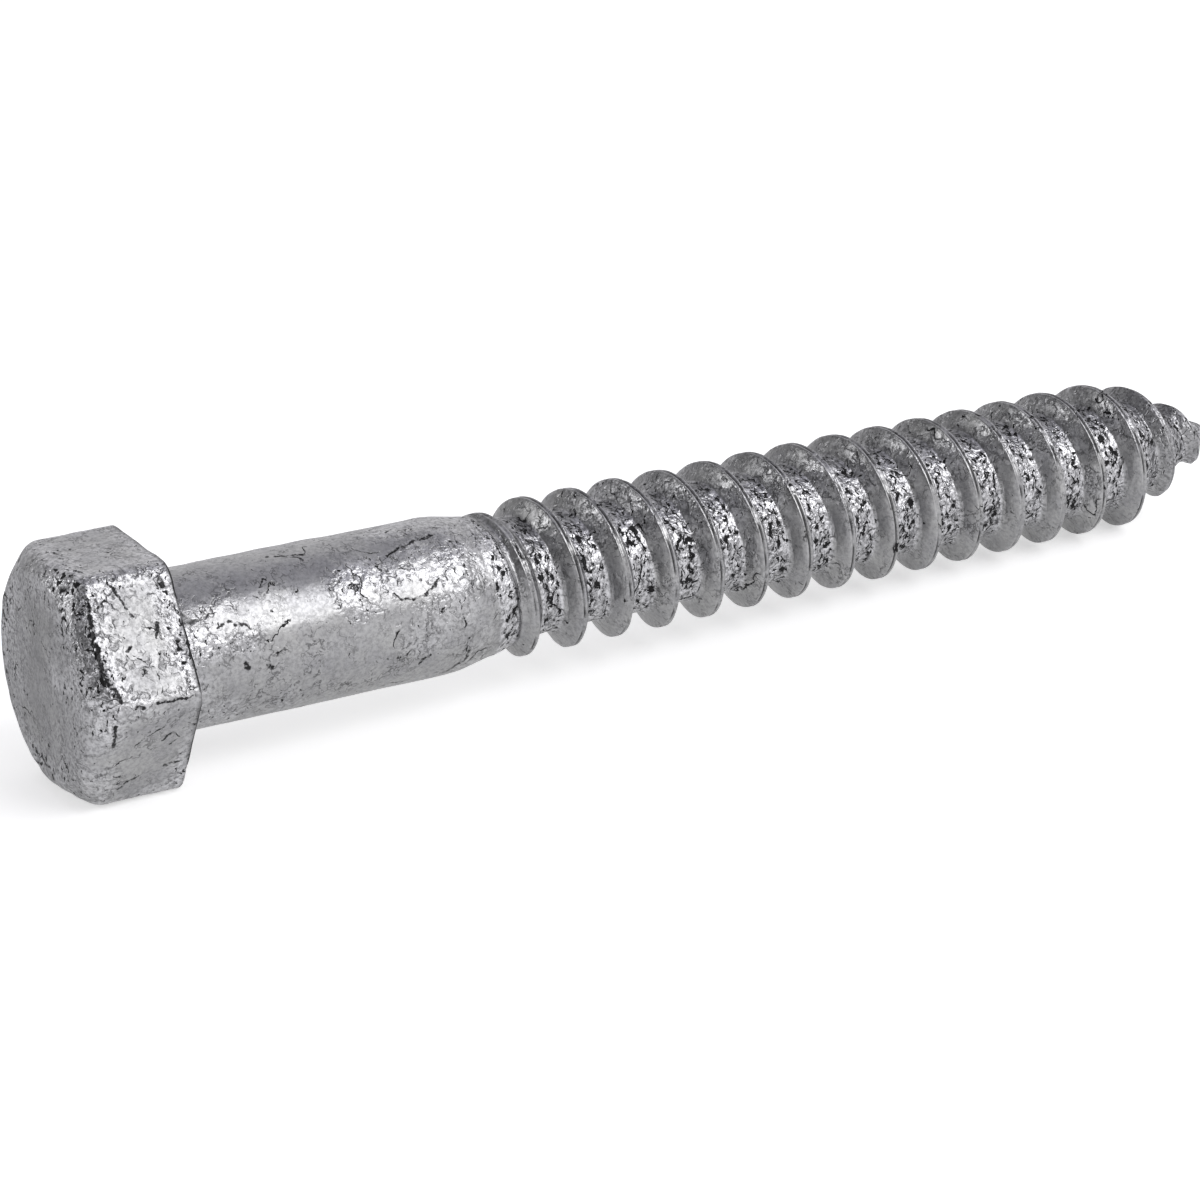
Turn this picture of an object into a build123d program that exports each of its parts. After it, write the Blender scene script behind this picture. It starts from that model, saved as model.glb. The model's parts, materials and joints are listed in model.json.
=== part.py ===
"""Lag screw: a galvanised hex-head screw for timber, half an inch by four inches.

It is one forged and rolled piece of steel.  It lies as it comes to rest on a level surface, on the
bearing-side edge of one hex flat and on the last full thread crest, so its axis dips to the point.
Small edges are chamfered, not rounded, because the thread already takes most of the facets.

Known fault: joining the ridge to the core loses the run-out, without an error.  The solid's ridge
starts bluntly, at its full depth, where the first full turn starts.

Millimetres, +Z up, +X towards the point, the surface at Z = 0, the origin under the middle of the box.
The screw is built upright first: its axis is Z, its point is up, the head's bearing face is at Z = 0
and +X is its underside, the side that will face the surface.
"""

from build123d import *
import os
from math import atan2, cos, degrees, floor, pi, radians, sin, tan

# --- Driving dimensions: millimetres and degrees ---------------------------------------------------

inch = 25.4

# Head
head_sides = 6
across_flats = 18.5
head_height = 8.73
corner_radius = 1.5           # rounding of the six corners, along the head
front_flat_diameter = 16.4    # flat circle that the chamfer leaves on the front
front_chamfer_angle = 35.0    # measured from the front face
bearing_edge_chamfer = 0.2    # edge of the hex on the shank's side
under_head_chamfer = 0.5      # cone that stands in for the fillet between bearing face and shank

# Shank and neck
length = 100.6                # bearing face to tip
body_diameter = 12.7
body_length = 25.0            # full-diameter shank, from the bearing face
neck_length = 8.0             # cone from the shank down to the thread's root

# Right-hand thread, a trapezoidal ridge on the root cylinder
threads_per_inch = 6
crest_diameter = 12.66
root_diameter = 9.44
crest_width = 0.54
flank_angle = 30.0            # each flank, measured from square to the axis
run_out_offset = 2.4          # from the shank's end to where the ridge starts on the underside
least_run_out_turns = 1.0     # turns in which the ridge grows to its full depth, at the least
run_out_depth = 0.7           # depth of the ridge where it starts, still inside the neck

# Gimlet point
point_length = 9.4            # cone from the thread's root to the tip
tip_diameter = 1.9
tip_edge_radius = 0.6         # rounding of the blunt tip
point_thread_turns = 1.85
ridge_end_depth = 0.75        # depth of the ridge where it ends near the tip

# The ridge's base is sunk this far into the core, so that the two fuse
ridge_sink = 0.25

# --- Worked out from them --------------------------------------------------------------------------

body_r = body_diameter / 2
crest_r = crest_diameter / 2
root_r = root_diameter / 2
tip_r = tip_diameter / 2
front_flat_r = front_flat_diameter / 2
pitch = inch / threads_per_inch
thread_depth = crest_r - root_r
neck_end = body_length + neck_length
cone_start = length - point_length
cone_angle = degrees(atan2(root_r - tip_r, point_length))

# Whole turns of full thread end where the cone starts; the run-out takes the turns that are left over
thread_start = body_length + run_out_offset
turns_to_cone = (cone_start - thread_start) / pitch
full_turns = floor(turns_to_cone - least_run_out_turns)
run_out_turns = turns_to_cone - full_turns


def ridge_section(turns, radius, depth):
    """The ridge's trapezoid so many turns along its helix, standing on the core at this radius."""
    angle = 2 * pi * turns
    outward = Vector(cos(angle), sin(angle), 0)
    section_plane = Plane(
        origin=outward * radius + Vector(0, 0, turns * pitch),
        x_dir=outward,
        z_dir=outward.cross(Vector(0, 0, 1)),
    )
    half_crest = crest_width / 2
    half_base = half_crest + (depth + ridge_sink) * tan(radians(flank_angle))
    with BuildSketch(section_plane) as section:
        with BuildLine():
            Polyline(
                (-ridge_sink, -half_base),
                (depth, -half_crest),
                (depth, half_crest),
                (-ridge_sink, half_base),
                close=True,
            )
        make_face()
    return section.sketch


# --- The ridge's three kinds of stretch, each starting at height 0 on the +X side ------------------

# Growing out of the neck.  This is the stretch that the join loses at these sizes; made as two
# stretches of half its turns each, it would stay.
with BuildPart() as run_out:
    with BuildLine() as run_out_path:
        Helix(pitch, run_out_turns * pitch, root_r)
    sweep(
        sections=[
            ridge_section(0, root_r, run_out_depth),
            ridge_section(run_out_turns, root_r, thread_depth),
        ],
        path=run_out_path.line,
        multisection=True,
        is_frenet=True,
    )

# One full turn, to be repeated
with BuildPart() as full_turn:
    with BuildLine() as full_turn_path:
        Helix(pitch, pitch, root_r)
    sweep(ridge_section(0, root_r, thread_depth), path=full_turn_path.line, is_frenet=True)

# Shrinking along the cone, where a helix's pitch is measured along the slope
point_thread_rise = point_thread_turns * pitch
ridge_end_r = root_r - point_thread_rise * tan(radians(cone_angle))
with BuildPart() as point_thread:
    with BuildLine() as point_path:
        Helix(pitch / cos(radians(cone_angle)), point_thread_rise, root_r, cone_angle=-cone_angle)
    sweep(
        sections=[
            ridge_section(0, root_r, thread_depth),
            ridge_section(point_thread_turns, ridge_end_r, ridge_end_depth),
        ],
        path=point_path.line,
        multisection=True,
        is_frenet=True,
    )

# --- The screw, upright ----------------------------------------------------------------------------

with BuildPart() as upright:
    # Hex head, turned half a side so that two of its flats are square to X
    with BuildSketch(Plane.XY.offset(-head_height)) as hexagon:
        RegularPolygon(across_flats / 2, head_sides, major_radius=False, rotation=180 / head_sides)
        fillet(hexagon.vertices(), radius=corner_radius)
    extrude(amount=head_height)
    bearing_face = upright.faces().sort_by(Axis.Z)[-1]
    chamfer(bearing_face.edges(), length=bearing_edge_chamfer)

    # Chamfer turned on the front: only what lies inside this shape stays
    chamfer_reach = across_flats
    chamfer_rise = (chamfer_reach - front_flat_r) * tan(radians(front_chamfer_angle))
    with BuildSketch(Plane.XZ) as front_shape:
        with BuildLine():
            Polyline(
                (0, -head_height),
                (front_flat_r, -head_height),
                (chamfer_reach, chamfer_rise - head_height),
                (chamfer_reach, chamfer_reach),
                (0, chamfer_reach),
                close=True,
            )
        make_face()
    revolve(axis=Axis.Z, mode=Mode.INTERSECT)

    # Shank, neck, thread root and point, turned in one from inside the head
    with BuildSketch(Plane.XZ) as core_profile:
        with BuildLine():
            Polyline(
                (0, -head_height / 2),
                (body_r, -head_height / 2),
                (body_r, body_length),
                (root_r, neck_end),
                (root_r, cone_start),
                (tip_r, length),
                (0, length),
                close=True,
            )
        make_face()
        tip_rim = core_profile.vertices().sort_by_distance((tip_r, length))[0]
        fillet(tip_rim, radius=tip_edge_radius)
    revolve(axis=Axis.Z)
    under_head_edge = upright.edges().filter_by(GeomType.CIRCLE).sort_by_distance((body_r, 0, 0))[0]
    chamfer(under_head_edge, length=under_head_chamfer)

    # The thread: each stretch starts where the one before it ends
    turn_now = 0
    stretches = [(run_out, run_out_turns)] + [(full_turn, 1)] * full_turns + [(point_thread, 0)]
    for stretch, turns in stretches:
        with Locations((0, 0, thread_start + turn_now * pitch)):
            add(stretch.part, rotation=(0, 0, 360 * turn_now))
        turn_now += turns

# --- At rest ---------------------------------------------------------------------------------------

# The ridge passes the underside once in each turn, and the last full crest there touches the surface
contact_turn = floor(turns_to_cone)
contact_height = thread_start + contact_turn * pitch + crest_width / 2

# The level line touches that crest and the end of the flat, where its bearing-side chamfer starts
tilt = atan2(across_flats / 2 - crest_r, contact_height + bearing_edge_chamfer)
axis_height = contact_height * sin(tilt) + crest_r * cos(tilt)
front_reach = head_height * cos(tilt) + front_flat_r * sin(tilt)
tip_reach = length * cos(tilt)

resting = Plane(
    origin=((front_reach - tip_reach) / 2, 0, axis_height),
    x_dir=(-sin(tilt), 0, -cos(tilt)),
    z_dir=(cos(tilt), 0, -sin(tilt)),
)
with BuildPart(resting) as lag_screw:
    add(upright.part)

lag_screw.part.label = "lag_screw"
os.makedirs("parts", exist_ok=True)
export_step(lag_screw.part, "parts/lag_screw.step")
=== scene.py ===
"""Scene for the galvanised hex lag screw: its detailed surface, a pale floor, soft light and the camera.

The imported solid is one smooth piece.  Here one finer mesh stands for it, of the same form but for the
thread's run-out from the neck, which the solid lacks.  It adds the lumps, wrinkles, pits and rounded
edges of thick hot-dip zinc.  The mesh is laid out in the screw's own coordinates first, in millimetres:
z runs along the axis from the head's bearing face to the point, and the angle round the axis starts at
the underside and turns away from the camera.
"""

import json
import math

import bpy
import numpy as np
from mathutils import Matrix, Vector


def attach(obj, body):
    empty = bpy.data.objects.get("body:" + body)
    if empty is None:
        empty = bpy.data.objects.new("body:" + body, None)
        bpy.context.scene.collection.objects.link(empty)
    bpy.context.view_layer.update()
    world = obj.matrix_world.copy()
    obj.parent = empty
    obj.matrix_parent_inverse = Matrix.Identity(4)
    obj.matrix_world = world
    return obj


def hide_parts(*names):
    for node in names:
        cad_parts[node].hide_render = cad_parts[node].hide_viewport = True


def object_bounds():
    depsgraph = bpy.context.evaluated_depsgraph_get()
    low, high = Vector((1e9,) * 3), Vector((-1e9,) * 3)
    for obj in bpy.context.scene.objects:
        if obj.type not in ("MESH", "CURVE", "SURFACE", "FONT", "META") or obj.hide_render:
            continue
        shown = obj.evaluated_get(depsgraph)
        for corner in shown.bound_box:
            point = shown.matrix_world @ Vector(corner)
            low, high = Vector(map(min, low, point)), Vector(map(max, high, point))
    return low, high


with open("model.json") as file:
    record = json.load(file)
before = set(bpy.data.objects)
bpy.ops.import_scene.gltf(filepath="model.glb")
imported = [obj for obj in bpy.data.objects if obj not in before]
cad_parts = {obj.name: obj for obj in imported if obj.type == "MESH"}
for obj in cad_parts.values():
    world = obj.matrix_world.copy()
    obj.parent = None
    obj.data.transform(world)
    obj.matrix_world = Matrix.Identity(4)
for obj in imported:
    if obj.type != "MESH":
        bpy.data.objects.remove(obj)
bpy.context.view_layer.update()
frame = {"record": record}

MM = 0.001
TURN = 2 * math.pi
HALF_SIDE = math.pi / 6            # half of the angle that one side of the hexagon takes

# --- Sizes of the screw, the same as in the part's source: millimetres and radians -------------------

# Head
head_height = 8.73
across_flats = 18.5
corner_radius = 1.5
front_flat_r = 8.2
front_chamfer_angle = math.radians(35.0)
bearing_edge_chamfer = 0.2
# Shank, neck and point
length = 100.6
body_r = 6.35
body_length = 25.0
neck_length = 8.0
root_r = 4.72
cone_start = 91.2
tip_r = 0.95
tip_edge_radius = 0.6
# Thread
pitch = 25.4 / 6
crest_r = 6.33
crest_width = 0.54
flank_angle = math.radians(30.0)
run_out_offset = 2.4
thread_start = body_length + run_out_offset
run_out_depth = 0.7
full_turns = 14
run_out_turns = (cone_start - thread_start) / pitch - full_turns
point_thread_turns = 1.85
ridge_end_depth = 0.75
thread_depth = crest_r - root_r

# --- Sizes that only the visible mesh has ----------------------------------------------------------------

crest_groove = 0.24                # width of the seam that rolling leaves along the crest
bend_reach = 0.8                   # the core's bends are eased over this length, before and after each
ridge_lead_turns = 0.5             # the ridge rises from nothing inside the neck, before its start
ridge_fade_turns = 0.08            # and runs out to nothing on the point, after its end
front_hub_r = 0.4                  # first ring of points round the middle of the front face
front_even_r = 3.0                 # within this the front's points are spread evenly round the axis
tip_hub_r = 0.1                    # last ring of points round the middle of the tip
ridge_left_end = 99.95             # what is left of the ridge sinks into the tip from here to its end

# --- The screw's place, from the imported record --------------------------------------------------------

mounts = {mount["name"]: mount for mount in frame["record"]["mounts"]}
along = Vector(mounts["bearing_face"]["axis"]).normalized()
across = Vector((0, 1, 0))
down = across.cross(along)
bearing_centre = Vector(mounts["bearing_face"]["pos_m"])
bearing_centre.y = 0
own_axes = np.array([down, across, along])


def to_row(own):
    """Points in the screw's own coordinates, in millimetres, to the row frame in metres."""
    return np.asarray(own) @ own_axes * MM + np.array(bearing_centre)


# --- Noise -----------------------------------------------------------------------------------------

seed_shift = 17.31                 # each seed looks at its own part of the noise
hash_factors = np.array([73856093, 19349663, 83492791])


def noise(points, size, seed):
    """Smooth noise from -1 to 1 over 3D points, with lumps about this size across."""
    cells = np.asarray(points) / size + seed * seed_shift
    base = np.floor(cells).astype(np.int64)
    part = cells - base
    part = part ** 3 * (part * (part * 6 - 15) + 10)
    total = np.zeros(len(cells))
    for corner in range(8):
        step = np.array([corner & 1, corner >> 1 & 1, corner >> 2 & 1])
        # A hash of the cell's corner, brought to -1 to 1
        key = (base + step) @ hash_factors
        key = (key ^ (key >> 13)) * 1274126177 & 0x7FFFFFFF
        value = (key ^ (key >> 11)) % 65536 / 32767.5 - 1
        total += value * np.prod(np.where(step, part, 1 - part), axis=1)
    return total


def layered(points, size, seed, layers=3):
    """Noise with finer, weaker layers added to it, still about -1 to 1."""
    total = sum(noise(points, size / 2 ** k, seed + k) / 2 ** k for k in range(layers))
    return total / (2 - 0.5 ** (layers - 1))


def ease(low, high, value):
    """0 below low, 1 above high, and smooth between."""
    part = np.clip((np.asarray(value, float) - low) / (high - low), 0, 1)
    return part * part * (3 - 2 * part)


def near(value, middle, full, reach):
    """1 where the value is within full of the middle, 0 beyond reach, and smooth between."""
    return 1 - ease(full, reach, np.abs(value - middle))


# --- The form, before the zinc's lumps ----------------------------------------------------------------

columns = 156                      # points round the screw, a multiple of twelve
body_rings_end = 24.0              # rings end here, on the plain shank, and rows along the helix start
tip_rings_start = 99.55            # the rows end here, and rings close the tip
ring_margin = 0.12                 # the rows keep this far from the rings
angles = np.arange(columns) * TURN / columns


def turned(radius, direction, z):
    """Points at these distances from the axis, in these directions and at these heights."""
    return np.stack([radius * np.cos(direction), radius * np.sin(direction), z], -1)


def rounded_line(corners, radii, run_steps, arc_steps):
    """A polyline with its inner corners rounded, each straight run and each arc in so many steps."""
    corners = [np.array(corner, float) for corner in corners]
    line = [corners[0]]

    def add_run(end, steps):
        start = line[-1]
        line.extend(start + (end - start) * k / steps for k in range(1, steps + 1))

    turns = zip(corners, corners[1:], corners[2:], radii, run_steps, arc_steps)
    for before, here, after, radius, run, arc in turns:
        back = (before - here) / np.linalg.norm(before - here)
        on = (after - here) / np.linalg.norm(after - here)
        half_angle = math.acos(back @ on) / 2
        middle = (back + on) / np.linalg.norm(back + on)
        centre = here + middle * radius / math.sin(half_angle)
        start = here + back * radius / math.tan(half_angle)
        end = here + on * radius / math.tan(half_angle)
        add_run(start, run)
        for k in range(1, arc + 1):
            way = start + (end - start) * k / arc - centre
            line.append(centre + way / np.linalg.norm(way) * radius)
    add_run(corners[-1], run_steps[-1])
    return np.array(line)


def angle_off_flat(angle):
    """Angle between this direction and the middle of the nearest flat."""
    return abs((angle + HALF_SIDE) % (2 * HALF_SIDE) - HALF_SIDE)


def hex_radius(angle):
    """Distance from the axis to the side of the hexagon with rounded corners, in this direction."""
    off_flat = angle_off_flat(angle)
    inset = across_flats / 2 - corner_radius
    if off_flat <= math.atan2(inset * math.tan(HALF_SIDE), across_flats / 2):
        return across_flats / 2 / math.cos(off_flat)
    centre = inset / math.cos(HALF_SIDE)
    off_corner = HALF_SIDE - off_flat
    past_centre = math.sqrt(corner_radius ** 2 - (centre * math.sin(off_corner)) ** 2)
    return centre * math.cos(off_corner) + past_centre


def hex_angles():
    """Directions of the columns on the head: even steps along the hexagon's outline."""
    fine = np.linspace(0, TURN, 3601)
    radius = np.array([hex_radius(angle) for angle in fine])
    outline = np.stack([radius * np.cos(fine), radius * np.sin(fine)], 1)
    run = np.concatenate([[0], np.cumsum(np.linalg.norm(np.diff(outline, axis=0), axis=1))])
    return np.interp(np.arange(columns) * run[-1] / columns, run, fine)


def head_rings():
    """Rings from the middle of the front face over the head and down the plain shank."""
    rings = []
    for even, angle in zip(angles, hex_angles()):
        side = hex_radius(angle)
        line = rounded_line(
            [
                (front_hub_r, -head_height),
                (front_flat_r, -head_height),
                (side, (side - front_flat_r) * math.tan(front_chamfer_angle) - head_height),
                (side, -bearing_edge_chamfer),
                (side - bearing_edge_chamfer, 0),
                (body_r, 0),
                (body_r, body_rings_end),
            ],
            radii=[0.8, 1.75, 0.15, 0.15, 0.5],
            run_steps=[24, 1, 20, 1, 8, 66],
            arc_steps=[3, 6, 2, 2, 4],
        )
        direction = even + (angle - even) * ease(front_even_r, front_flat_r, line[:, 0])
        rings.append(turned(line[:, 0], direction, line[:, 1]))
    return np.stack(rings, 1)


def core_radius(z):
    """Radius of the shank, neck, thread root and point, without the ridge, its bends eased."""
    places = [0, body_length, body_length + neck_length, cone_start, length]
    radii = [body_r, body_r, root_r, root_r, tip_r]
    shares = (-1, -0.5, 0, 0.5, 1)
    return sum(np.interp(z + share * bend_reach, places, radii) for share in shares) / len(shares)


def ridge_depth(turns):
    """Height of the ridge so many turns after its start: it grows, stays full, then shrinks and ends."""
    cone = run_out_turns + full_turns
    end = cone + point_thread_turns
    places = [-ridge_lead_turns, 0, run_out_turns, cone, end, end + ridge_fade_turns]
    return np.interp(turns, places, [0, run_out_depth, thread_depth, thread_depth, ridge_end_depth, 0])


def ridge_section():
    """The thread's section over one pitch: offsets from the crest, and heights as shares of its depth."""
    half_crest = crest_width / 2
    half_base = half_crest + thread_depth * math.tan(flank_angle)
    line = rounded_line(
        [
            (-pitch / 2, 0),
            (-half_base, 0),
            (-half_crest, thread_depth),
            (-crest_groove / 2, thread_depth),
            (0, thread_depth - crest_groove / 2),
            (crest_groove / 2, thread_depth),
            (half_crest, thread_depth),
            (half_base, 0),
            (pitch / 2, 0),
        ],
        radii=[0.35, 0.1, 0, 0, 0, 0.1, 0.35],
        run_steps=[3, 4, 1, 1, 1, 1, 4, 3],
        arc_steps=[2, 2, 0, 0, 0, 2, 2],
    )
    return line[:, 0], line[:, 1] / thread_depth


section_offset, section_share = ridge_section()
rows_per_turn = len(section_offset) - 1


def surface_radius(z, angle):
    """Distance from the axis to the threaded surface."""
    turns = (z - thread_start) / pitch - angle / TURN
    nearest = np.round(turns)
    share = np.interp((turns - nearest) * pitch, section_offset, section_share)
    height = share * ridge_depth(nearest + angle / TURN)
    base = np.where(z < cone_start - bend_reach, root_r, core_radius(z))
    return np.maximum(core_radius(z), base + height)


def helix_rows():
    """Grid of points in rows along the helix, and which of them lie between the two sets of rings."""
    first = math.floor((body_rings_end - thread_start) / pitch - 2) * rows_per_turn
    last = math.ceil((length - thread_start) / pitch + 1) * rows_per_turn
    turn, place = np.divmod(np.arange(first, last), rows_per_turn)
    z = thread_start + (turn[:, None] + angles / TURN) * pitch + section_offset[place][:, None]
    kept = (z > body_rings_end + ring_margin) & (z < tip_rings_start - ring_margin)
    return turned(surface_radius(z, angles[None, :]), angles, z), kept


def tip_rings():
    """Rings down the end of the point and over its blunt tip."""
    line = rounded_line(
        [(core_radius(tip_rings_start), tip_rings_start), (tip_r, length), (tip_hub_r, length)],
        radii=[tip_edge_radius],
        run_steps=[5, 2],
        arc_steps=[4],
    )
    z = line[:, 1, None]
    ridge_left = surface_radius(z, angles) - core_radius(z)
    radius = line[:, :1] + ridge_left * ease(length, ridge_left_end, z)
    return turned(radius, angles, np.broadcast_to(z, radius.shape))


def build_form():
    """Points and faces of the whole screw as one closed mesh, in its own coordinates."""
    rings = head_rings()
    ring_ids = np.arange(rings.shape[0] * columns).reshape(-1, columns)
    helix, kept = helix_rows()
    helix_ids = np.full(kept.shape, -1)
    helix_ids[kept] = ring_ids.size + np.arange(kept.sum())
    tip = tip_rings()
    tip_start = ring_ids.size + kept.sum()
    tip_ids = tip_start + np.arange(tip.shape[0] * columns).reshape(-1, columns)
    front_middle = tip_start + tip_ids.size
    tip_middle = front_middle + 1
    middles = np.array([(0, 0, -head_height), (0, 0, length)])
    points = np.concatenate([rings.reshape(-1, 3), helix[kept], tip.reshape(-1, 3), middles])

    faces = []
    for column in range(columns):
        after = (column + 1) % columns
        for ids in (ring_ids, tip_ids):
            for low, high in zip(ids, ids[1:]):
                faces.append((low[column], low[after], high[after], high[column]))
        here = helix_ids[:, column]
        there = helix_ids[:, after]
        if after == 0:
            # Once round, a row goes on as the one a turn later
            there = np.append(there[rows_per_turn:], [-1] * rows_per_turn)
        both = np.flatnonzero((here >= 0) & (there >= 0))
        for low, high in zip(both, both[1:]):
            faces.append((here[low], there[low], there[high], here[high]))
        # The gap to the nearest ring has four sides, or five where a row starts or ends
        low, high = both[0], both[-1]
        below_here, below_there = ([i for i in side[:low] if i >= 0] for side in (here, there))
        above_here, above_there = ([i for i in side[high + 1:] if i >= 0] for side in (here, there))
        ring = ring_ids[-1]
        faces.append((ring[column], ring[after], *below_there, there[low], here[low], *below_here[::-1]))
        ring = tip_ids[0]
        faces.append((here[high], there[high], *above_there, ring[after], ring[column], *above_here[::-1]))
        faces.append((front_middle, ring_ids[0][after], ring_ids[0][column]))
        faces.append((tip_middle, tip_ids[-1][column], tip_ids[-1][after]))
    return points, [tuple(int(i) for i in face) for face in faces]


# --- The zinc's lumps, wrinkles and pits ---------------------------------------------------------------

# Places on the screw: millimetres along it, and degrees round it from the underside
head_end = 0.02                    # the head lies below this
front_end = 0.3 - head_height      # its front face lies below this
chamfer_end = -6.8                 # the chamfer round that face lies below this
upper_flat = 240                   # upper flat on the camera's side, which mirrors the lamp
lower_flat = 300                   # lower flat on the camera's side

most_rough = 1.4                   # roughness goes from 0 to this


def cylindrical(own):
    """Distance from the axis, angle and z of points in the screw's own coordinates."""
    return np.hypot(own[:, 0], own[:, 1]), np.arctan2(own[:, 1], own[:, 0]) % TURN, own[:, 2]


def near_head_edges(own):
    """1 along the edges of the head's faces, falling to 0 within some 2 mm."""
    radius, angle, z = cylindrical(own)
    to_corner = across_flats / 2 * math.tan(HALF_SIDE) - radius * np.sin(angle_off_flat(angle))
    chamfer_at_corner = 1.7
    to_front = z + head_height - chamfer_at_corner
    side = np.minimum(np.minimum(to_corner, to_front), -z - 0.1)
    front = front_flat_r - 0.6 - radius
    inward = np.where(z < front_end, front, side)
    return 1 - ease(0.2, 2.2, inward)


def head_roughness(own, patches, on_upper_flat):
    """Rougher along the edges, on the front face, on the upper flat and on the chamfer beside it."""
    angle, z = cylindrical(own)[1:]
    around = np.degrees(angle)
    rough = 0.15 + 0.8 * patches + 0.5 * near_head_edges(own)
    rough += (0.4 - 0.25 * ease(-6.5, -3, z)) * on_upper_flat
    rough += 0.15 * (z < front_end)
    chamfer = (z > front_end) * (z < chamfer_end)
    return rough + 0.4 * near(around, 235, 35, 55) * chamfer


def shank_roughness(own, patches):
    """Rougher in a ragged band on the camera's side, which climbs along the shank, and calm halfway."""
    angle, z = cylindrical(own)[1:]
    climb = 32 * ease(10, 17, z)
    ragged = 14 * layered(own, 2.4, 7)
    band = 1 - ease(6, 16, np.abs(np.degrees(angle) - 255 + climb + ragged))
    calm = ease(5, 8, z) * (1 - ease(12.5, 15.5, z))
    return 0.15 + 0.8 * patches + (0.5 - 0.45 * calm) * band - 0.15 * calm


def coat(own, normals):
    """The galvanised surface: moved points, how rough each one is, and how dark, from 0 to 1, the dark being
    mostly painted shade.
    """
    radius, angle, z = cylindrical(own)
    around = np.degrees(angle)
    on_head = z < head_end
    on_front_face = z < front_end
    on_upper_flat = on_head * near(around, upper_flat, 22, 32)
    threaded = ease(body_length - 1, body_length + 4, z)

    # Where the point lies on the thread: how far along the axis from the nearest crest's middle
    turns = (z - thread_start) / pitch - angle / TURN
    offset = np.abs(turns - np.round(turns)) * pitch
    on_ridge = threaded * (ridge_depth(np.round(turns) + angle / TURN) > 0.2)
    on_root = threaded * ease(0.95, 1.35, offset)
    on_crest = on_ridge * (1 - ease(0.02, 0.08, offset))

    patches = layered(own, 5.0, 3)
    thread_rough = 0.05 + 0.5 * patches + 0.5 * near(around, 190, 30, 62)
    thread_rough = np.maximum(thread_rough, 1.35 * on_root) + 0.3 * ease(91, 96, z)
    plain_rough = shank_roughness(own, patches) * (1 - threaded) + thread_rough * threaded
    rough = np.where(on_head, head_roughness(own, patches, on_upper_flat), plain_rough)
    rough = np.clip(rough, 0, most_rough)

    # Lumps of three sizes, the finest ones where it is rough
    move = 0.05 * noise(own, 5.0, 11) + 0.03 * noise(own, 2.0, 12)
    move += 0.05 * noise(own, 0.95, 21) * rough

    # Dark: painted shade in the seam along the crests, along stretches of the bearing edge, on the front
    # face and along the top of the threaded part; also darker towards the point and on the upper flat
    seam = on_crest * ease(-0.3, 0.2, noise(own, 1.2, 41))
    # Painted shade along stretches of the bearing edge
    edge = near(z, -0.1, 0.05, 0.25) * ease(8.0, 8.8, radius)
    edge = edge * ease(-0.9, -0.2, noise(own, 2.0, 42))
    # Painted shade on the front face, and darker towards the point
    painted_shade_and_darkening = 0.32 * ease(89, 97, z) + 0.26 * on_front_face
    # Painted shade along the top of the threaded part
    painted_shade_and_darkening += 0.4 * on_ridge * near(around, 180, 8, 26)
    # Darker on the upper flat
    painted_shade_and_darkening += 0.18 * on_upper_flat * (z > front_end)
    painted_shade_and_darkening *= 0.8 + 0.5 * layered(own, 2.5, 51)
    dark = np.clip(np.maximum(np.maximum(seam, edge), painted_shade_and_darkening), 0, 1)
    return own + normals * move[:, None], rough, dark


def make_screw():
    """The visible screw: one mesh in the row frame with the coat's attributes."""
    points, faces = build_form()
    mesh = bpy.data.meshes.new("zinc_coated_screw")
    mesh.from_pydata(points, [], faces)
    normals = np.empty(len(points) * 3, np.float32)
    mesh.vertex_normals.foreach_get("vector", normals)
    moved, rough, dark = coat(points, normals.reshape(-1, 3))
    mesh.vertices.foreach_set("co", to_row(moved).astype(np.float32).ravel())
    for name, values in (("rough", rough), ("dark", dark)):
        attribute = mesh.attributes.new(name, "FLOAT", "POINT")
        attribute.data.foreach_set("value", values.astype(np.float32))
    mesh.polygons.foreach_set("use_smooth", [True] * len(mesh.polygons))
    mesh.update()
    screw = bpy.data.objects.new("zinc_coated_screw", mesh)
    bpy.context.scene.collection.objects.link(screw)
    return screw


# --- Materials -----------------------------------------------------------------------------------------

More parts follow.
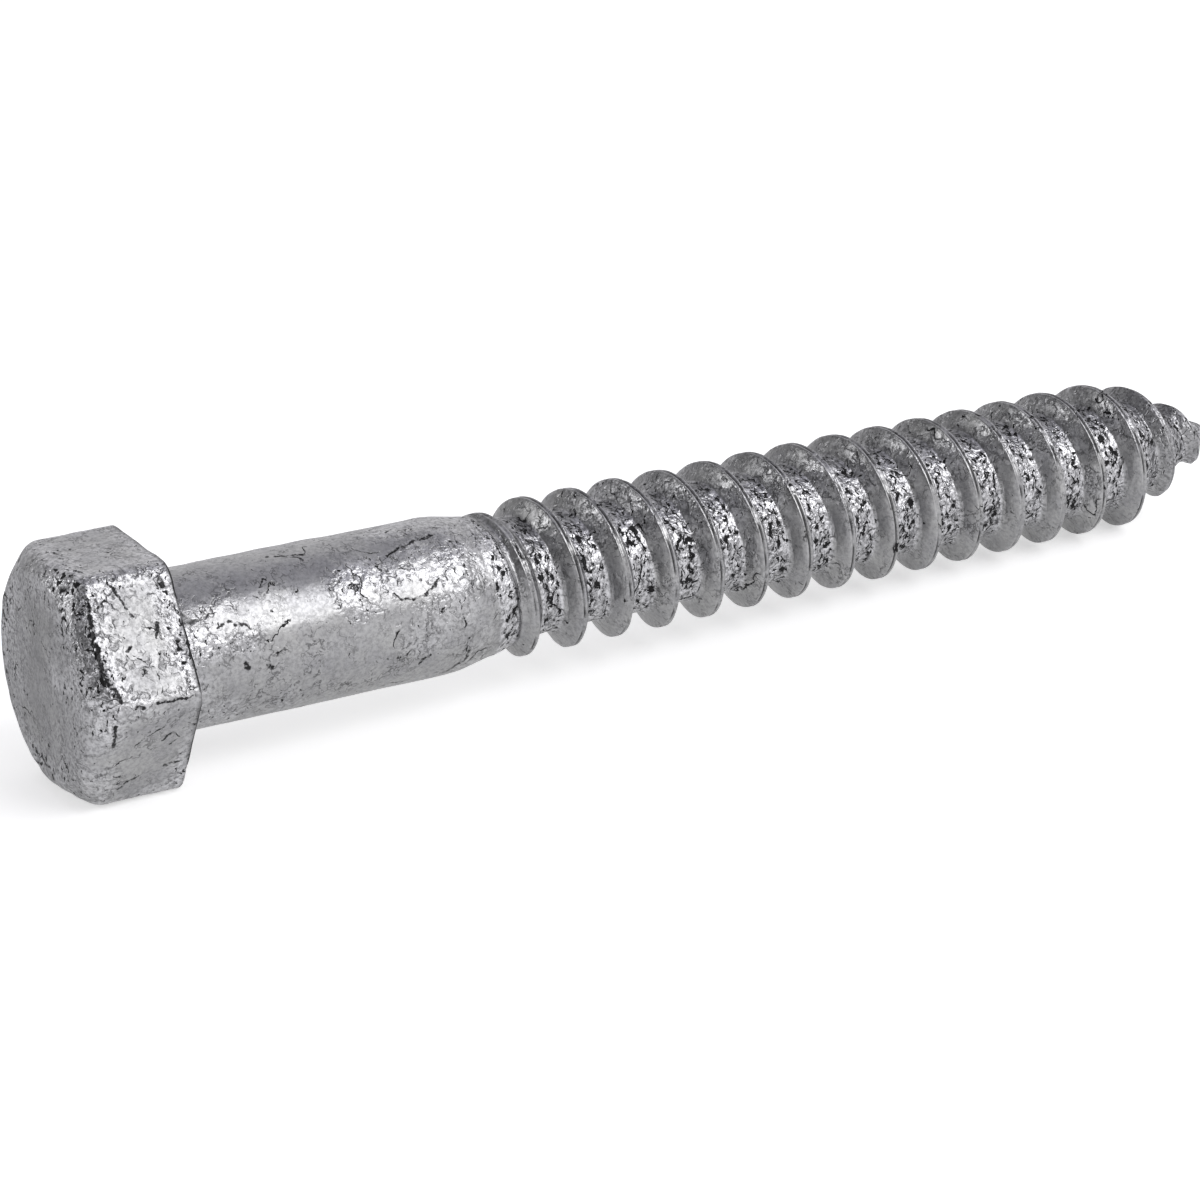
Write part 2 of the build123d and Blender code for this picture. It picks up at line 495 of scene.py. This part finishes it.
class Nodes:
    """The emptied node tree of a material or a world, with short calls to add nodes and link them."""

    def __init__(self, owner):
        owner.use_nodes = True
        self.tree = owner.node_tree
        self.tree.nodes.clear()

    def add(self, kind, inputs=None, **settings):
        node = self.tree.nodes.new("ShaderNode" + kind)
        for key, value in settings.items():
            setattr(node, key, value)
        for key, value in (inputs or {}).items():
            if isinstance(value, bpy.types.NodeSocket):
                self.tree.links.new(value, node.inputs[key])
            else:
                node.inputs[key].default_value = value
        return node

    def math(self, operation, first, second=0.0):
        return self.add("Math", {0: first, 1: second}, operation=operation).outputs[0]

    def noise(self, place, size_mm, detail=2.0, roughness=0.5):
        """Noise from 0 to 1 with lumps of this size."""
        inputs = {"Vector": place, "Scale": 1 / size_mm, "Detail": detail, "Roughness": roughness}
        return self.add("TexNoise", inputs).outputs["Fac"]

    def span(self, value, low, high, to_low=0.0, to_high=1.0, smooth=False):
        """The value from low to high, spread over to_low to to_high, and held beyond them."""
        inputs = {"Value": value, "From Min": low, "From Max": high, "To Min": to_low, "To Max": to_high}
        kind = "SMOOTHSTEP" if smooth else "LINEAR"
        return self.add("MapRange", inputs, clamp=True, interpolation_type=kind).outputs["Result"]

    def mix(self, share, first, second):
        """The first colour, turned into the second by this share."""
        inputs = {"Factor": share, "A": first, "B": second}
        return self.add("Mix", inputs, data_type="RGBA").outputs["Result"]

    def vector(self, operation, first, second=(0.0, 0.0, 0.0), **named):
        return self.add("VectorMath", {0: first, 1: second, **named}, operation=operation).outputs[0]

    def near(self, value, middle, core, reach):
        """1 where the value is within core of the middle, 0 beyond reach."""
        off = self.math("ABSOLUTE", self.math("SUBTRACT", value, middle))
        return self.span(off, core, reach, 1.0, 0.0)

    def pits(self, place, spacing_mm, core, reach, share):
        """Round pits in this share of cells this far apart; core and reach are parts of the spacing."""
        cells = self.add("TexVoronoi", {"Vector": place, "Scale": 1 / spacing_mm}).outputs
        chosen = self.add("SeparateColor", {0: cells["Color"]}).outputs[0]
        chosen = self.math("LESS_THAN", chosen, share)
        return self.math("MULTIPLY", self.span(cells["Distance"], core, reach, 1.0, 0.0), chosen)

    def stroke(self, place, start, end, width_mm):
        """How many widths away the straight mark from start to end is. No clamped nodes: they cost stack."""
        run = end - start
        out = self.vector("SUBTRACT", place, start)
        inputs = {0: out, 1: run / run.length_squared}
        share = self.add("VectorMath", inputs, operation="DOT_PRODUCT").outputs["Value"]
        share = self.math("MINIMUM", self.math("MAXIMUM", share, 0.0), 1.0)
        nearest = self.vector("SCALE", run, Scale=share)
        off = self.add("VectorMath", {0: out, 1: nearest}, operation="DISTANCE").outputs["Value"]
        return self.math("DIVIDE", off, width_mm)

    def bump(self, height_mm):
        """The normal of a surface whose height over the mesh is this, in millimetres."""
        return self.add("Bump", {"Height": height_mm, "Distance": MM}).outputs["Normal"]


def grey(level, blue=1.03):
    """A neutral grey with a trace of blue, as linear RGBA."""
    return (level, level, level * blue, 1)


def on_shank(*places):
    """Points of the shank, each given by z and degrees round the axis."""
    angles_z = [(math.radians(degrees), z) for z, degrees in places]
    return [(body_r * math.cos(angle), body_r * math.sin(angle), z) for angle, z in angles_z]


def on_flat(degrees, *places):
    """Points of the hex flat that faces this way, each given by z and how far sideways it is."""
    out = np.array([math.cos(math.radians(degrees)), math.sin(math.radians(degrees)), 0])
    side = np.array([-out[1], out[0], 0])
    return [out * across_flats / 2 + side * sideways + (0, 0, z) for z, sideways in places]


def on_front(*places):
    """Points of the front face or of the chamfer round it, each given by x and y."""
    past_rim = [max(0, math.hypot(x, y) - front_flat_r) for x, y in places]
    rise = math.tan(front_chamfer_angle)
    return [(x, y, past * rise - head_height) for (x, y), past in zip(places, past_rim)]


# Single marks that stand out in the zinc: lines of points, with a width in millimetres
marks = [
    # Shank: two pits, a long crack, curls and forks, and the dark lower shoulder
    (0.36, on_shank((5.3, 267), (5.5, 271))),
    (0.32, on_shank((7.3, 272), (7.5, 275))),
    (0.24, on_shank((19, 212), (21.5, 204), (23.6, 201))),
    (0.26, on_shank((10, 188), (12.7, 192))),
    (0.22, on_shank((11, 186), (12.6, 199))),
    (0.2, on_shank((8, 215), (8.5, 210), (9.2, 217))),
    (0.22, on_shank((3.6, 239), (5, 236), (6.4, 245))),
    (0.2, on_shank((15.1, 231), (15.6, 222))),
    (0.2, on_shank((14.6, 227), (15.8, 230))),
    (0.2, on_shank((18.5, 241), (19, 246), (21, 247), (22.4, 238))),
    (0.16, on_shank((23.8, 256), (24.2, 274), (24.6, 298))),
    (0.34, on_shank((23.2, 321), (24.6, 308), (24.8, 298))),
    (0.2, on_shank((20.4, 299), (21.3, 292))),
    # Upper flat towards the lamp: a scratch, spots, and dark creases along its front and lower edge
    (0.2, on_flat(upper_flat, (-5.2, -5.0), (-3.9, -1.8))),
    (0.4, on_flat(upper_flat, (-1.1, -4.3), (-1.0, -3.7))),
    (0.32, on_flat(upper_flat, (-2.1, -1.1), (-2.5, 0.1))),
    (0.2, on_flat(upper_flat, (-6.6, -2.8), (-5.6, -3.4), (-4.6, -2.6))),
    (0.14, on_flat(upper_flat, (-4.6, 1.0), (-3.2, 2.2), (-3.0, 4.4))),
    (0.5, on_flat(upper_flat, (-7.0, -3.7), (-7.3, -1.0), (-7.2, 2.0), (-6.5, 4.2))),
    (0.24, on_flat(upper_flat, (-5.4, 5.0), (-0.7, 4.9))),
    # Lower flat: a chain of pits at its front edge, and wrinkles
    (0.3, on_flat(lower_flat, (-7.0, -4.3), (-6.8, -1.9))),
    (0.28, on_flat(lower_flat, (-2.2, 1.7), (-0.8, 1.6))),
    (0.16, on_flat(lower_flat, (-5.3, -1.4), (-3.0, -3.2))),
    (0.16, on_flat(lower_flat, (-2.8, -1.5), (-2.1, -2.2), (-1.4, -1.5), (-2.1, -0.8))),
    (0.14, on_flat(lower_flat, (-6.0, 3.9), (-5.2, 2.8), (-4.2, 2.3))),
    # Front face
    (0.36, on_front((-6.4, 1.9), (-5.8, 2.0))),
    (0.18, on_front((-3.7, -8.1), (-2.5, -7.9))),
    (0.18, on_front((-4.3, -4.8), (-4.2, -6.6))),
    (0.24, on_front((5.4, -3.3), (6.2, -4.2), (7.0, -3.8))),
    (0.28, on_front((6.5, 2.9), (7.2, -0.3))),
]


def soft_folds(nodes, place, bent, rough):
    """Soft folds in stretches, where the zinc is at all rough."""
    gaps = nodes.span(nodes.noise(place, 0.9), low=0.42, high=0.55)
    fold = nodes.near(nodes.noise(bent, 1.5), middle=0.5, core=0.0, reach=0.05)
    return nodes.math("MULTIPLY", nodes.math("MULTIPLY", fold, gaps), nodes.span(rough, 0.05, 0.4))


def wrinkled_lines(nodes, place, bent):
    """Thin crinkled lines, stronger in some places than in others."""
    ripple = nodes.noise(bent, 1.1, detail=3.0, roughness=0.6)
    line = nodes.near(ripple, middle=0.47, core=0.01, reach=0.035)
    strength = nodes.span(nodes.noise(place, 2.2), 0.42, 0.6, to_low=0.1, to_high=0.75)
    return nodes.math("MULTIPLY", line, strength)


def dark_blots(nodes, bent, rough):
    """Dark blots, drawn out across the screw, that crowd the rough places."""
    drawn_out = nodes.vector("MULTIPLY", bent, (1.5, 0.85, 0.65))
    lumps = nodes.noise(drawn_out, 0.5, detail=3.0, roughness=0.6)
    limit = nodes.span(rough, 0.1, most_rough, to_low=0.31, to_high=0.46)
    return nodes.span(nodes.math("SUBTRACT", limit, lumps), 0.0, 0.03)


def hairline_cracks(nodes, place, bent):
    """Long thin cracks in a few places."""
    crack = nodes.near(nodes.noise(bent, 4.5, detail=1.0), middle=0.5, core=0.004, reach=0.011)
    return nodes.math("MULTIPLY", crack, nodes.span(nodes.noise(place, 3.0), 0.56, 0.62))


def drawn_marks(nodes, place, bent):
    """1 on the single marks, with frayed edges and worn stretches, and 0 off them."""
    off = 9.0                      # in widths of the mark: further than any edge
    for width, points in marks:
        points = [Vector(point) / MM for point in to_row(points)]
        for start, end in zip(points, points[1:]):
            off = nodes.math("MINIMUM", off, nodes.stroke(bent, start, end, width))
    off = nodes.math("ADD", off, nodes.noise(place, 0.22))
    worn = nodes.span(nodes.noise(place, 0.35), 0.34, 0.46, to_low=0.35, to_high=1.0)
    return nodes.math("MULTIPLY", nodes.span(off, 0.85, 1.15, to_low=1.0, to_high=0.0), worn)


def zinc_material():
    """Dull hot-dip zinc: smooth mottled skin, crinkled where it froze rough, with creases and pits, and with
    painted shade in its soft folds and from the dark attribute.
    """
    material = bpy.data.materials.new("hot_dip_zinc")
    nodes = Nodes(material)
    place = nodes.add("TexCoord").outputs["Object"]
    place = nodes.vector("SCALE", place, Scale=1 / MM)
    rough = nodes.add("Attribute", attribute_name="rough").outputs["Fac"]
    # The dark attribute is mostly painted shade, laid down in coat()
    dark = nodes.add("Attribute", attribute_name="dark").outputs["Fac"]

    # Coordinates pushed about by noise, so that what is drawn in them meanders
    push = nodes.add("TexNoise", {"Vector": place, "Scale": 1 / 0.8, "Detail": 2.0}).outputs["Color"]
    push = nodes.vector("SUBTRACT", push, (0.5, 0.5, 0.5))
    bent = nodes.vector("ADD", place, nodes.vector("SCALE", push, Scale=1.1))

    fold = soft_folds(nodes, place, bent, rough)
    wrinkle = wrinkled_lines(nodes, place, bent)
    blots = dark_blots(nodes, bent, rough)
    crack = hairline_cracks(nodes, place, bent)
    pits_cracks_and_painted_shade = nodes.math("MAXIMUM", nodes.pits(bent, 2.4, core=0.05, reach=0.1, share=0.35), crack)
    # With the dark attribute this takes in painted shade as well as pits, cracks and blots
    pits_cracks_and_painted_shade = nodes.math("MAXIMUM", pits_cracks_and_painted_shade, nodes.math("MAXIMUM", dark, blots))
    slightly_bent = nodes.vector("ADD", place, nodes.vector("SCALE", push, Scale=0.7))
    drawn = drawn_marks(nodes, place, slightly_bent)

    cloud = nodes.noise(place, 3.0, detail=4.0, roughness=0.6)
    grain = nodes.noise(place, 0.3, detail=3.0, roughness=0.65)
    skin = nodes.mix(nodes.span(cloud, 0.35, 0.65), grey(0.33), grey(0.40, blue=1.0))
    skin = nodes.mix(nodes.span(grain, 0.36, 0.6), nodes.mix(0.35, skin, grey(0.1)), skin)
    crust = nodes.mix(nodes.span(grain, 0.34, 0.56), grey(0.24), grey(0.6))
    colour = nodes.mix(nodes.span(rough, 0.2, 1.0), skin, crust)
    # Thin wrinkled lines, and painted shade in the soft folds
    lines_and_painted_fold_shade = nodes.math("MAXIMUM", wrinkle, nodes.math("MULTIPLY", fold, 0.45))
    colour = nodes.mix(lines_and_painted_fold_shade, colour, grey(0.08))
    # Pits, cracks, blots, marks and the painted shade of the dark attribute go almost black
    colour = nodes.mix(nodes.math("MAXIMUM", pits_cracks_and_painted_shade, drawn), colour, grey(0.025))

    lumps = nodes.noise(place, 0.75, detail=3.0)
    lump_height = nodes.span(rough, 0.1, most_rough, to_low=0.04, to_high=0.36)
    height = nodes.math("MULTIPLY", lumps, lump_height)
    height = nodes.math("SUBTRACT", height, nodes.math("MULTIPLY", pits_cracks_and_painted_shade, 0.05))
    height = nodes.math("SUBTRACT", height, nodes.math("MULTIPLY", fold, 0.05))
    normal = nodes.bump(height)

    roughness = nodes.span(grain, 0.3, 0.7, to_low=0.38, to_high=0.28)
    roughness = nodes.math("ADD", roughness, nodes.math("MULTIPLY", pits_cracks_and_painted_shade, 0.3))
    shader = nodes.add("BsdfPrincipled", {"Base Color": colour, "Roughness": roughness, "Normal": normal})
    shader.inputs["Metallic"].default_value = 1.0
    nodes.add("OutputMaterial", {"Surface": shader.outputs[0]})
    return material


def floor_material():
    """Floor that keeps its shadow: a glow lifts it to white for the camera; in reflections the glow is
    painted light, strong in front of the screw and weak behind it.
    """
    material = bpy.data.materials.new("white_floor")
    nodes = Nodes(material)
    ray = nodes.add("LightPath").outputs
    camera_lift = 0.5
    mirrored = nodes.math("MAXIMUM", ray["Is Glossy Ray"], ray["Is Transmission Ray"])
    place = nodes.add("SeparateXYZ", {0: nodes.add("NewGeometry").outputs["Position"]}).outputs
    # Painted light seen only in reflections: the floor glows more in front of the screw than behind it
    painted_light_in_reflections = nodes.span(place["Y"], -0.02, 0.03, to_low=0.54, to_high=0.1)
    mirrored = nodes.math("MULTIPLY", mirrored, painted_light_in_reflections)
    lift = nodes.math("ADD", nodes.math("MULTIPLY", ray["Is Camera Ray"], camera_lift), mirrored)
    paint = nodes.add("BsdfDiffuse", {"Color": (0.8, 0.8, 0.8, 1)}).outputs[0]
    glow = nodes.add("Emission", {"Strength": lift}).outputs[0]
    nodes.add("OutputMaterial", {"Surface": nodes.add("AddShader", {0: paint, 1: glow}).outputs[0]})
    return material


# --- Stage, light and camera -----------------------------------------------------------------------------

def make_floor(height):
    """A wide level plane under the screw."""
    reach = 3.0
    mesh = bpy.data.meshes.new("floor")
    signs = [(-1, -1), (1, -1), (1, 1), (-1, 1)]
    mesh.from_pydata([(x * reach, y * reach, height) for x, y in signs], [], [(0, 1, 2, 3)])
    floor = bpy.data.objects.new("floor", mesh)
    mesh.materials.append(floor_material())
    bpy.context.scene.collection.objects.link(floor)


def make_world():
    """Soft studio surround: pale low down, darker and bluer overhead, and dark beyond the head."""
    world = bpy.data.worlds.new("studio")
    bpy.context.scene.world = world
    nodes = Nodes(world)
    way = nodes.add("SeparateXYZ", {0: nodes.add("TexCoord").outputs["Generated"]}).outputs
    overhead = nodes.span(way["Z"], 0.68, 0.9, smooth=True)
    overhead_loss = 0.42
    dimmed = nodes.math("SUBTRACT", 1.0, nodes.math("MULTIPLY", overhead, overhead_loss))
    beyond_head = nodes.span(way["X"], -0.5, 0.1, to_low=0.2, to_high=1.0, smooth=True)
    level = nodes.math("MULTIPLY", dimmed, beyond_head)
    colour = nodes.mix(overhead, (1.0, 0.99, 1.01, 1), (0.97, 0.96, 1.06, 1))
    back = nodes.add("Background", {"Color": colour, "Strength": level}).outputs[0]
    nodes.add("OutputWorld", {"Surface": back})


def aimed(direction, roll=0.0):
    """A rotation that looks against this direction, top up; roll turns what it sees clockwise."""
    back = Vector(direction).normalized()
    right = Vector((0, 0, 1)).cross(back).normalized()
    top = back.cross(right)
    turned_right = right * math.cos(roll) + top * math.sin(roll)
    turned_top = back.cross(turned_right)
    return Matrix((turned_right, turned_top, back)).transposed().to_4x4()


def heading(azimuth, elevation):
    """Unit vector from the screw: azimuth 0 is towards -Y and 90 towards -X, in degrees."""
    azimuth, elevation = math.radians(azimuth), math.radians(elevation)
    level = math.cos(elevation)
    return Vector((-math.sin(azimuth) * level, -math.cos(azimuth) * level, math.sin(elevation)))


def make_softbox(name, azimuth, elevation, distance, width, height, watts):
    """A rectangular area lamp that faces the middle of the screw."""
    lamp = bpy.data.lights.new(name, "AREA")
    lamp.shape = "RECTANGLE"
    lamp.size, lamp.size_y = width, height
    lamp.energy = watts
    box = bpy.data.objects.new(name, lamp)
    way = heading(azimuth, elevation)
    box.matrix_world = Matrix.Translation(way * distance) @ aimed(way)
    bpy.context.scene.collection.objects.link(box)


def make_camera():
    """The photograph's view: from the near side and the head's end, from above, rolled a little."""
    aim = bearing_centre + (along * 41.6 + across * 3.3 + down * 4.8) * MM
    way = heading(azimuth=28.45, elevation=21.06)
    distance = 0.33
    roll = math.radians(-3.05)
    data = bpy.data.cameras.new("camera")
    data.lens = 120
    data.sensor_width = 36
    camera = bpy.data.objects.new("camera", data)
    camera.matrix_world = Matrix.Translation(aim + way * distance) @ aimed(way, roll)
    bpy.context.scene.collection.objects.link(camera)
    bpy.context.scene.camera = camera


screw = make_screw()
screw.data.materials.append(zinc_material())
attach(screw, "root")
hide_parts("lag_screw")

floor_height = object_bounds()[0].z
make_floor(floor_height)
make_world()
make_softbox("key", azimuth=-28, elevation=42, distance=0.45, width=0.34, height=0.34, watts=0.95)
make_softbox("rim", azimuth=119, elevation=21, distance=0.45, width=0.2, height=0.2, watts=0.4)
make_camera()
bpy.context.scene.view_settings.view_transform = "Standard"
